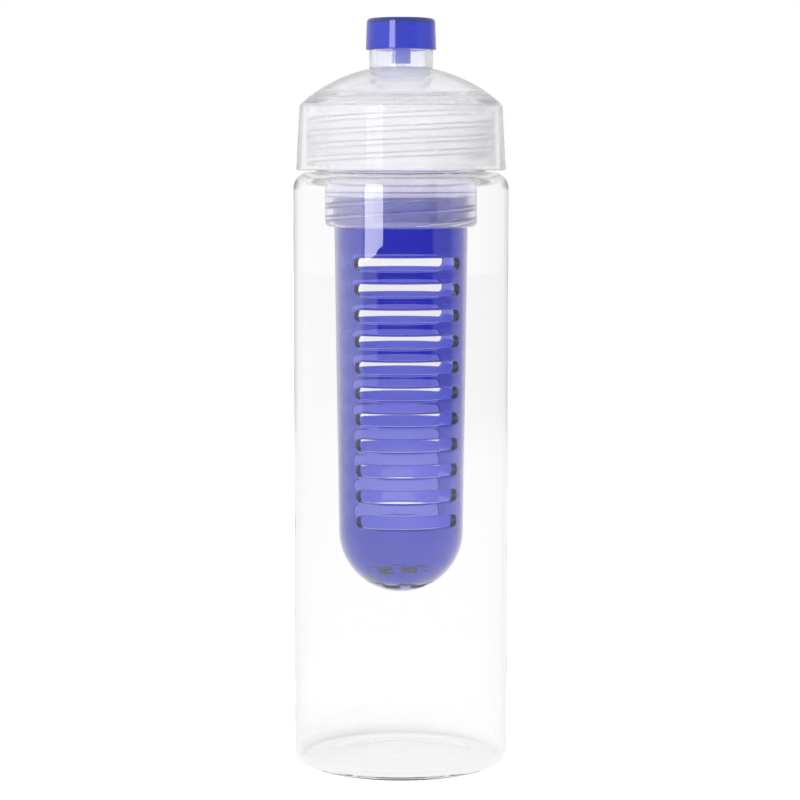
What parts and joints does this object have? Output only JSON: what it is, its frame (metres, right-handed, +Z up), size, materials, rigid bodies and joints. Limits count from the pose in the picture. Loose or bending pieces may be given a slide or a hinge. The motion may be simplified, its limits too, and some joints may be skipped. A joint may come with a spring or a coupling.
{
  "type": "fruit infuser water bottle",
  "caption": "Clear cylindrical drinking bottle with a frosted domed screw lid, a push-pull spout cap and a slotted blue infuser basket hanging from the lid.",
  "frame": {"origin": "middle of the flat ring that the bottle stands on", "axes": "+Z up along the bottle's axis, -Y towards the viewer, in front of the basket's windows"},
  "size_m": [0.073, 0.073, 0.254],
  "materials": {
    "clear_plastic": "clear, glossy",
    "frosted_plastic": "translucent, lightly frosted",
    "silicone": "translucent, satin",
    "blue_clear_plastic": "transparent, glossy, tinted blue-violet"
  },
  "bodies": {
    "bottle": {"bottle_body": "clear_plastic"},
    "gasket": {"lid_gasket": "silicone"},
    "washer": {"spout_seal": "silicone"},
    "lid": {"lid_shell": "frosted_plastic", "infuser_collar": "frosted_plastic", "mouthpiece": "frosted_plastic"},
    "cap": {"push_pull_cap": "blue_clear_plastic"},
    "basket": {"infuser": "blue_clear_plastic"}
  },
  "joints": [
    {"name": "lid_lift", "type": "slide", "parent": "bottle", "child": "gasket", "axis": [0, 0, 1], "range_m": [0, 0.17]},
    {"name": "lid_rise", "type": "slide", "parent": "gasket", "child": "washer", "axis": [0, 0, 1], "range_m": [0, 0.01075]},
    {"name": "lid_turn", "type": "hinge", "parent": "washer", "child": "lid", "pos_m": [0, 0, 0.21], "axis": [0, 0, 1], "range_deg": [0, 450]},
    {"name": "cap_pull", "type": "slide", "parent": "lid", "child": "cap", "axis": [0, 0, 1], "range_m": [0, 0.005]},
    {"name": "basket_release", "type": "slide", "parent": "lid", "child": "basket", "axis": [0, 0, -1], "range_m": [0, 0.014]}
  ],
  "couplings": [
    {"joint": "lid_rise", "follows": "lid_turn", "m_per_rad": 0.0013687}
  ]
}
